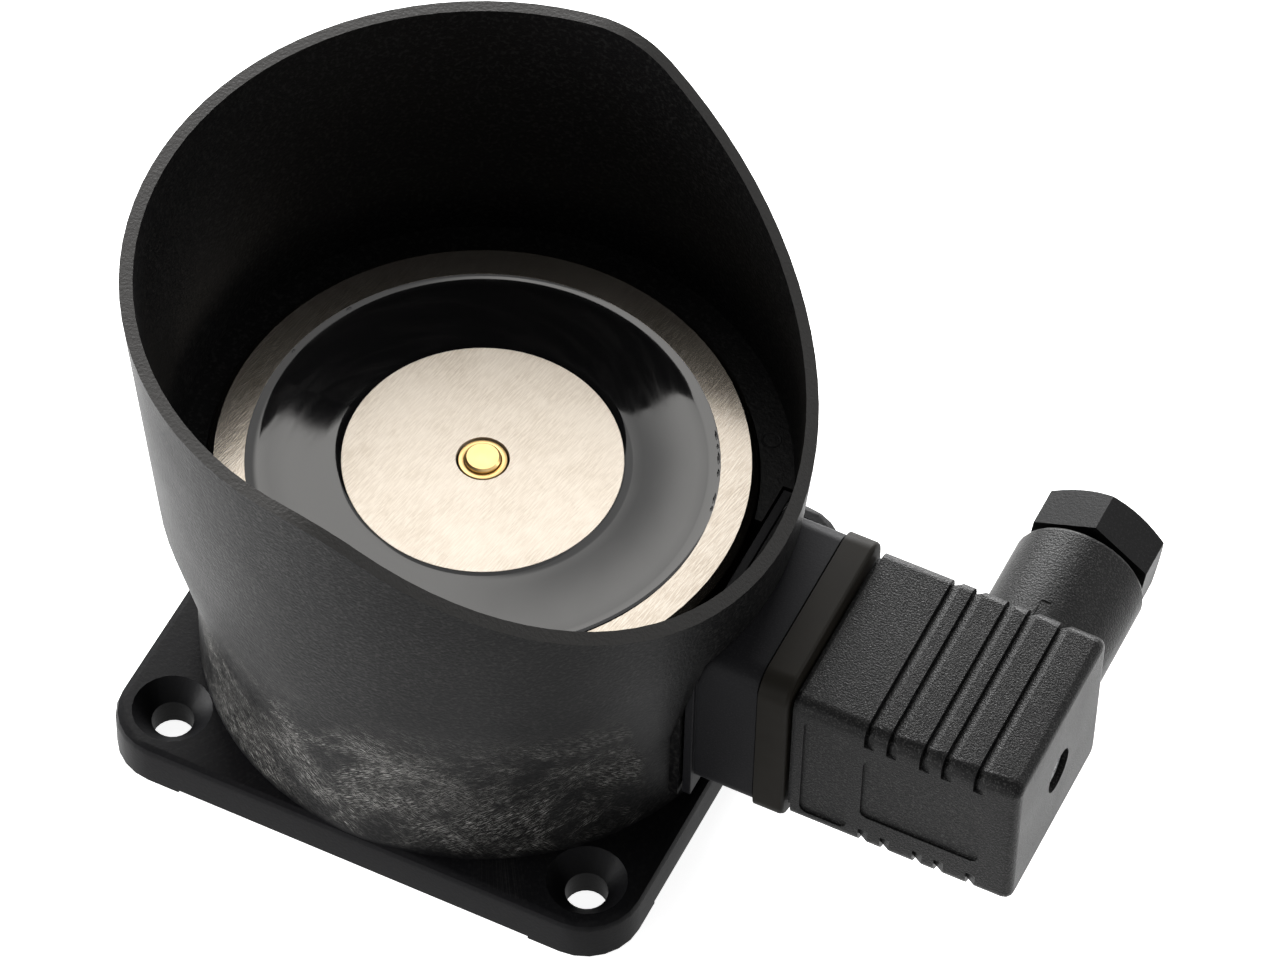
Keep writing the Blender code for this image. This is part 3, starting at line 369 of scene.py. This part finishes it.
def housing_plastic():
    """Black moulding: smoother on the flange, with painted shade inside the collar, a painted highlight on
    the rim's top face, and scuffed below.
    """
    s = Shader("housing_look")
    place = s.axes()
    height = place["Z"]
    radius = s.radius()
    outer_skin = s.scaled(height, COLLAR_SLOPE, RIM_RADIUS - COLLAR_SLOPE * RIM_HEIGHT)
    from_skin = s.math("SUBTRACT", radius, outer_skin)
    # Painted shade: a mask of the collar's inside, which is darker because little light reaches it
    painted_collar_shade = s.product(s.band(from_skin, *INNER_SKIN, 1.0, 0.0), s.band(height, *LEDGE_FADE))
    # Painted highlight: a mask of the rim's upward faces
    painted_rim_highlight = s.product(s.band(s.upward(), 0.35, 0.65), s.band(height, *RIM_FADE))
    from_front = s.math("ABSOLUTE", s.math("SUBTRACT", s.around(BODY_ARC), SCUFF_CENTRE))
    scuffed = s.product(
        s.band(height, *SCUFF_TOP, 1.0, 0.0),
        s.band(height, *SCUFF_FOOT),
        s.band(radius, *BODY_FACE),
        s.math("SUBTRACT", 1.0, painted_collar_shade),
        s.band(place["X"], *PLUG_SIDE, 1.0, 0.0),
        s.band(from_front, *SCUFF_SPREAD, 1.0, SCUFF_ELSEWHERE),
    )
    worn, hairs = scuffs(s, scuffed)
    # The pale specks are made fewer inside the collar, as part of its painted shade
    speck = s.product(
        s.band(s.noise(1700.0, detail=1.0), 0.48, 0.72),
        s.scaled(painted_collar_shade, -0.45, 1.0),
        s.band(height, *FLANGE_FADE, 0.10, 1.0),
    )
    colour = s.mix(s.band(height, *FLANGE_FADE), (0.0035, 0.0035, 0.0040), (0.0040, 0.0040, 0.0042))
    # Painted shade: the inside of the collar is made darker
    colour = s.mix(painted_collar_shade, colour, (0.0030, 0.0030, 0.0032))
    colour = s.mix(speck, colour, (0.017, 0.0168, 0.0163))
    # Painted highlight: the rim's top face is made paler, as if lit from above
    colour = s.mix(painted_rim_highlight, colour, (0.034, 0.033, 0.032))
    colour = s.mix(worn, colour, (0.012, 0.0118, 0.0114))
    colour = s.mix(hairs, colour, (0.70, 0.685, 0.65))
    rough = s.math("ADD", s.uneven(s.noise(70.0), 0.43, swing=0.14), s.product(scuffed, 0.06))
    grain = s.product(s.noise(2000.0, detail=2.0, roughness=0.6), s.band(height, *FLANGE_FADE, 0.3, 1.0))
    normal = s.bump(grain, strength=0.3, distance=0.0003)
    normal = s.bump(hairs, strength=0.5, distance=0.00012, normal=normal)
    return s.finish(colour, rough, normal=normal, specular=0.055)


def ground_steel(name, roughness, metallic, painted_brightness):
    """Ground faces with marks in one direction, in a colour made lighter or darker as painted light or
    shade; the side wall just below the face is browner.
    """
    s = Shader(name)
    marks_place = s.stretch(GRINDING_STRETCH, GRINDING_TURN)
    marks = s.noise(1.0, detail=3.0, roughness=0.65, vector=marks_place)
    cloud = s.band(s.noise(140.0, detail=5.0, roughness=0.65), 0.3, 0.7)
    stain = s.band(s.noise(420.0, detail=4.0, roughness=0.6), 0.55, 0.78)
    wall = s.band(s.axes()["Z"], *POLE_WALL_FADE, 1.0, 0.0)
    # Painted light or shade: each colour of the faces is scaled by the brightness that is passed in
    colour = s.mix(cloud, toned((0.425, 0.372, 0.310), painted_brightness), toned((0.500, 0.448, 0.385), painted_brightness))
    colour = s.mix(s.product(stain, 0.35), colour, toned((0.30, 0.245, 0.19), painted_brightness))
    colour = s.mix(s.product(s.band(marks, 0.38, 0.66), 0.8), colour, toned((0.58, 0.53, 0.465), painted_brightness))
    colour = s.mix(wall, colour, (0.20, 0.155, 0.11))
    rough = s.uneven(marks, roughness, swing=0.14)
    return s.finish(colour, rough, metallic, normal=s.bump(marks, strength=0.45, distance=0.00003))


def cast_resin():
    """Glossy resin with dust, and with smears that follow the ring."""
    s = Shader("resin_look")
    ring = s.vector(s.around(SMEAR_ARC), s.radius(), 0.0)
    smear_place = s.stretch(SMEAR_STRETCH, SMEAR_TURN, ring)
    smear = s.noise(1.0, detail=4.0, roughness=0.6, vector=smear_place, distortion=0.6)
    dust = s.band(s.noise(900.0, detail=2.0), 0.70, 0.80)
    colour = s.mix(s.product(dust, 0.15), (0.006, 0.006, 0.0065), (0.06, 0.06, 0.06))
    colour = s.mix(s.product(s.band(smear, 0.42, 0.75), 0.18), colour, (0.035, 0.033, 0.031))
    rough = s.band(smear, 0.30, 0.75, 0.05, 0.11)
    waves = s.noise(60.0, detail=2.0, roughness=0.4)
    s.bsdf.inputs["IOR"].default_value = RESIN_IOR
    return s.finish(colour, rough, normal=s.bump(waves, strength=0.25, distance=0.0004))


def turned_brass():
    """Brass with the concentric marks of a lathe."""
    s = Shader("brass_look")
    rings_place = s.vector(s.product(s.radius(), LATHE_MARKS), 0.0, 0.0)
    rings = s.noise(1.0, detail=3.0, roughness=0.6, vector=rings_place)
    colour = s.mix(s.noise(500.0), (0.63, 0.42, 0.17), (0.75, 0.54, 0.26))
    rough = s.uneven(rings, 0.33, swing=0.14)
    return s.finish(colour, rough, metallic=1.0, normal=s.bump(rings, strength=0.25, distance=0.00004))


def plated_metal():
    """Bright plating of every piece that has no finish of its own, such as screws and blades."""
    s = Shader("plated_look")
    colour = s.mix(s.noise(300.0), (0.58, 0.59, 0.61), (0.70, 0.70, 0.71))
    return s.finish(colour, s.uneven(s.noise(800.0), 0.355, swing=0.15), metallic=1.0)


def soft_rubber():
    """Matt rubber with a faint unevenness."""
    s = Shader("rubber_look")
    colour = s.mix(s.noise(120.0), (0.0065, 0.0057, 0.0045), (0.012, 0.0105, 0.008))
    rough = s.uneven(s.noise(260.0), 0.52, swing=0.16)
    normal = s.bump(s.noise(900.0, detail=2.0), strength=0.08, distance=0.00008)
    return s.finish(colour, rough, normal=normal, specular=0.06)


def plain(name, low, high, roughness):
    """A finish with a slight change of tint, for pieces inside."""
    s = Shader(name)
    colour = s.mix(s.noise(200.0), low, high)
    return s.finish(colour, s.uneven(s.noise(500.0), roughness, swing=0.1))


HOUSING = housing_plastic()
RESIN = cast_resin()
BRASS = turned_brass()
PLATED = plated_metal()
RUBBER = soft_rubber()
SMOOTH = moulded(
    "smooth_look", dark=(0.0090, 0.0090, 0.0102), pale=(0.015, 0.015, 0.016),
    roughness=0.50, grain=3200.0, depth=0.08, specular=0.06,
)
SHELL = moulded(
    "connector_look", dark=(0.0025, 0.0025, 0.0027), pale=(0.034, 0.0337, 0.0327),
    roughness=0.38, grain=3400.0, depth=0.38, specular=0.09,
)
NUT = moulded(
    "nut_look", dark=(0.0060, 0.0060, 0.0063), pale=(0.014, 0.014, 0.014),
    roughness=0.40, grain=2800.0, depth=0.12, specular=0.05,
)
LOOKS = {
    "housing": HOUSING,
    # The pot's ring gets a darker colour as painted shade, and the pole disc a lighter one as painted
    # light; both are the same ground steel
    "magnet_pot": ground_steel("steel_look", roughness=0.20, metallic=1.0, painted_brightness=0.70),
    "inner_pole": ground_steel("disc_look", roughness=0.49, metallic=0.70, painted_brightness=1.45),
    "potting_ring": RESIN,
    "connector_housing": SHELL,
    "gland_nut": NUT,
    "coil_winding": plain("copper_look", (0.62, 0.26, 0.12), (0.76, 0.36, 0.18), roughness=0.35),
    "coil_bobbin": plain("nylon_look", (0.68, 0.66, 0.58), (0.76, 0.74, 0.67), roughness=0.5),
    "guide_sleeve": BRASS, "ejector_pin": BRASS, "centre_insert": BRASS,
    "contact_socket_line": BRASS, "contact_socket_neutral": BRASS, "contact_socket_earth": BRASS,
    "plug_base": SMOOTH, "contact_block": SMOOTH, "coil_lead_1": SMOOTH, "coil_lead_2": SMOOTH,
    "gasket": RUBBER, "gland_seal": RUBBER, "screw_seal": RUBBER,
}


def dress(name, node):
    """Give a node its finish, smooth its round faces and break its sharp edges."""
    node.data.materials.clear()
    node.data.materials.append(LOOKS.get(name, PLATED))
    for face in node.data.polygons:
        face.use_smooth = True
    sharp = SOFT_ANGLE if name in SOFT else SHARP_ANGLE
    weld = node.modifiers.new("weld", "WELD")
    weld.merge_threshold = WELD_DISTANCE
    if name in ROUNDED:
        edge = node.modifiers.new("edge", "BEVEL")
        edge.width = ROUNDED[name]
        edge.segments = BEVEL_SEGMENTS
        edge.limit_method = "ANGLE"
        edge.angle_limit = math.radians(sharp + BEVEL_MARGIN)
    split = node.modifiers.new("split", "EDGE_SPLIT")
    split.split_angle = math.radians(sharp)
    split.use_edge_sharp = False
    flat = node.modifiers.new("flat", "WEIGHTED_NORMAL")
    flat.mode = "FACE_AREA"
    flat.weight = NORMAL_WEIGHT


for node_name, node_object in NODES.items():
    dress(node_name, node_object)


# Small forms that the solids leave out

def lathe(name, profile, steps, material):
    """A turned piece from a closed profile of (radius, height)."""
    mesh = bpy.data.meshes.new(name)
    shape = bmesh.new()
    rings = [
        [shape.verts.new(on_circle(radius, 360.0 * step / steps, height)) for radius, height in profile]
        for step in range(steps)
    ]
    count = len(profile)
    for step, here in enumerate(rings):
        there = rings[(step + 1) % steps]
        for point in range(count):
            follow = (point + 1) % count
            face = shape.faces.new((here[point], here[follow], there[follow], there[point]))
            face.smooth = True
    bmesh.ops.recalc_face_normals(shape, faces=shape.faces)
    shape.to_mesh(mesh)
    shape.free()
    mesh.set_sharp_from_angle(angle=math.radians(LATHE_SHARP_ANGLE))
    mesh.materials.append(material)
    return add_object(name, mesh)


def poured_resin():
    """The resin with a meniscus that climbs both steel walls."""
    flat_start = RESIN_INNER + INNER_LIP_WIDTH
    flat_end = RESIN_OUTER - OUTER_LIP_WIDTH
    lip_shares = [step / LIP_STEPS for step in range(LIP_STEPS + 1)]
    dip_shares = [step / DIP_STEPS for step in range(1, DIP_STEPS)]
    profile = [
        (RESIN_INNER + INNER_LIP_WIDTH * share, RESIN_LEVEL + INNER_LIP_RISE * (1 - share) ** LIP_POWER)
        for share in lip_shares
    ]
    profile += [
        (flat_start + (flat_end - flat_start) * share, RESIN_LEVEL - RESIN_DIP * math.sin(math.pi * share))
        for share in dip_shares
    ]
    profile += [
        (flat_end + OUTER_LIP_WIDTH * share, RESIN_LEVEL + OUTER_LIP_RISE * share ** LIP_POWER)
        for share in lip_shares
    ]
    profile += [(RESIN_OUTER, RESIN_BOTTOM), (RESIN_INNER, RESIN_BOTTOM)]
    piece = lathe("poured_resin", profile, RESIN_STEPS, RESIN)
    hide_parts("potting_ring")
    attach(piece, "base")


def blob(name, half_sizes, material):
    """A small uneven drop."""
    mesh = bpy.data.meshes.new(name)
    shape = bmesh.new()
    bmesh.ops.create_icosphere(shape, subdivisions=FLECK_SUBDIVISIONS, radius=1.0)
    for vertex in shape.verts:
        ripple = 1.0 + RIPPLE * math.sin(RIPPLE_WAVES.dot(vertex.co))
        vertex.co = Vector(part * half * ripple for part, half in zip(vertex.co, half_sizes))
    for face in shape.faces:
        face.smooth = True
    shape.to_mesh(mesh)
    shape.free()
    mesh.materials.append(material)
    return add_object(name, mesh)


def resin_flecks():
    """Chips and burst bubbles along the resin's outer edge, most of them on the connector's side."""
    for number, (angle, half_length) in enumerate(FLECKS):
        fleck = blob(f"resin_fleck_{number}", (FLECK_HALF_WIDTH, half_length, FLECK_HALF_HEIGHT), RESIN)
        fleck.location = on_circle(FLECK_RADIUS, angle, FLECK_HEIGHT)
        fleck.rotation_euler = (0.0, 0.0, math.radians(angle))
        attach(fleck, "base")


def mould_marks():
    """Round marks of the mould's ejector pins on the ledge."""
    for number, angle in enumerate(MARK_ANGLES):
        mark = lathe(f"mould_mark_{number}", MARK_PROFILE, MARK_STEPS, HOUSING)
        mark.location = on_circle(MARK_RING_RADIUS, angle, LEDGE_HEIGHT - MARK_SINK)
        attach(mark, "base")


def pressed_spring():
    """The pin's spring as a copy with a mesh of its own, in place of the CAD spring; on the real magnet it
    shortens from its top as the pin goes in.
    """
    piece = add_object("pin_spring", NODES["ejector_spring"].data.copy())
    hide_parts("ejector_spring")
    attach(piece, "base")
    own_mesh(piece)


poured_resin()
resin_flecks()
mould_marks()
pressed_spring()


# Floor, light and camera

def background_ray(tree):
    """1 for the rays that show the background: from the camera, off gloss and through glass."""
    path = tree.nodes.new("ShaderNodeLightPath")
    seen = path.outputs["Is Camera Ray"]
    for name in ("Is Glossy Ray", "Is Transmission Ray"):
        larger = tree.nodes.new("ShaderNodeMath")
        larger.operation = "MAXIMUM"
        tree.links.new(seen, larger.inputs[0])
        tree.links.new(path.outputs[name], larger.inputs[1])
        seen = larger.outputs[0]
    return seen


def between(tree, factor, low, high):
    """A number that goes from low to high as the factor goes from 0 to 1."""
    node = tree.nodes.new("ShaderNodeMapRange")
    node.inputs["To Min"].default_value = low
    node.inputs["To Max"].default_value = high
    tree.links.new(factor, node.inputs["Value"])
    return node.outputs["Result"]


def floor():
    """A floor that looks white and takes a shadow, but throws little light on the object."""
    bpy.ops.mesh.primitive_plane_add(size=FLOOR_SIZE, location=(0.0, 0.0, -FLOOR_DROP))
    plane = bpy.context.object
    plane.name = "floor"
    material = bpy.data.materials.new("floor_look")
    material.use_nodes = True
    tree = material.node_tree
    tree.nodes.clear()
    out = tree.nodes.new("ShaderNodeOutputMaterial")
    diffuse = tree.nodes.new("ShaderNodeBsdfDiffuse")
    glow = tree.nodes.new("ShaderNodeEmission")
    add = tree.nodes.new("ShaderNodeAddShader")
    seen = background_ray(tree)
    tree.links.new(between(tree, seen, FLOOR_SHADE, FLOOR_WHITE), diffuse.inputs["Color"])
    tree.links.new(between(tree, seen, 0.0, FLOOR_GLOW), glow.inputs["Strength"])
    tree.links.new(diffuse.outputs[0], add.inputs[0])
    tree.links.new(glow.outputs[0], add.inputs[1])
    tree.links.new(add.outputs[0], out.inputs["Surface"])
    plane.data.materials.append(material)


def world():
    """A white background that lights the object only weakly."""
    studio = bpy.data.worlds.new("studio")
    bpy.context.scene.world = studio
    studio.use_nodes = True
    tree = studio.node_tree
    background = tree.nodes["Background"]
    background.inputs["Color"].default_value = (1.0, 1.0, 1.0, 1.0)
    strength = between(tree, background_ray(tree), WORLD_AMBIENT, 1.0)
    tree.links.new(strength, background.inputs["Strength"])


def fade_across(light, start, end, low, high):
    """Let an area light go from a low to a high strength between two shares of its width."""
    light.use_nodes = True
    tree = light.node_tree
    geometry = tree.nodes.new("ShaderNodeNewGeometry")
    across = tree.nodes.new("ShaderNodeSeparateXYZ")
    step = tree.nodes.new("ShaderNodeMapRange")
    step.interpolation_type = "SMOOTHSTEP"
    for key, number in (("From Min", start), ("From Max", end), ("To Min", low), ("To Max", high)):
        step.inputs[key].default_value = number
    tree.links.new(geometry.outputs["Parametric"], across.inputs[0])
    tree.links.new(across.outputs[0], step.inputs["Value"])
    tree.links.new(step.outputs["Result"], tree.nodes["Emission"].inputs["Strength"])


def softbox(name, place, target, size, watts):
    """A rectangular area light that looks at a target."""
    light = bpy.data.lights.new(name, "AREA")
    light.shape = "RECTANGLE"
    light.size, light.size_y = size
    light.energy = watts
    lamp = add_object(name, light)
    lamp.location = place
    aim = Vector(target) - Vector(place)
    lamp.rotation_euler = aim.to_track_quat("-Z", "Y").to_euler()
    return light


def lights():
    """A large warm box above and behind, which the pole faces mirror, and four boxes round the sides."""
    above_pole = (0.0, 0.0, 0.05)
    magnet = (0.0, 0.0, 0.04)
    connector = (0.07, 0.0, 0.03)
    back = softbox("back_box", (-0.22, 0.55, 0.98), above_pole, size=(1.0, 0.75), watts=7.0)
    back.color = (1.0, 0.98, 0.945)
    fade_across(back, start=0.40, end=0.60, low=0.15, high=1.0)
    softbox("left_box", (-1.08, -0.35, 0.28), magnet, size=(0.9, 0.42), watts=31.0)
    softbox("front_box", (-0.35, -1.15, 0.25), magnet, size=(0.9, 0.5), watts=6.0)
    softbox("right_box", (0.75, 0.55, 0.60), connector, size=(0.45, 0.5), watts=4.0)
    softbox("rear_box", (-0.45, 1.05, 0.40), magnet, size=(0.9, 0.4), watts=42.0)


def camera():
    """The photograph's view."""
    back = Vector((
        math.sin(CAMERA_AZIMUTH) * math.cos(CAMERA_ELEVATION),
        -math.cos(CAMERA_AZIMUTH) * math.cos(CAMERA_ELEVATION),
        math.sin(CAMERA_ELEVATION),
    ))
    side = Vector((math.cos(CAMERA_AZIMUTH), math.sin(CAMERA_AZIMUTH), 0.0))
    up = back.cross(side)
    right = side * math.cos(CAMERA_ROLL) + up * math.sin(CAMERA_ROLL)
    above = up * math.cos(CAMERA_ROLL) - side * math.sin(CAMERA_ROLL)
    lens = bpy.data.cameras.new("camera")
    lens.sensor_fit = "HORIZONTAL"
    lens.sensor_width = CAMERA_SENSOR
    lens.lens = CAMERA_LENS
    lens.clip_start, lens.clip_end = CAMERA_CLIP
    viewer = add_object("camera", lens)
    turn = Matrix((right, above, back)).transposed().to_4x4()
    viewer.matrix_world = Matrix.Translation(CAMERA_PLACE) @ turn
    bpy.context.scene.camera = viewer


floor()
world()
lights()
camera()
bpy.context.scene.view_settings.view_transform = "Standard"
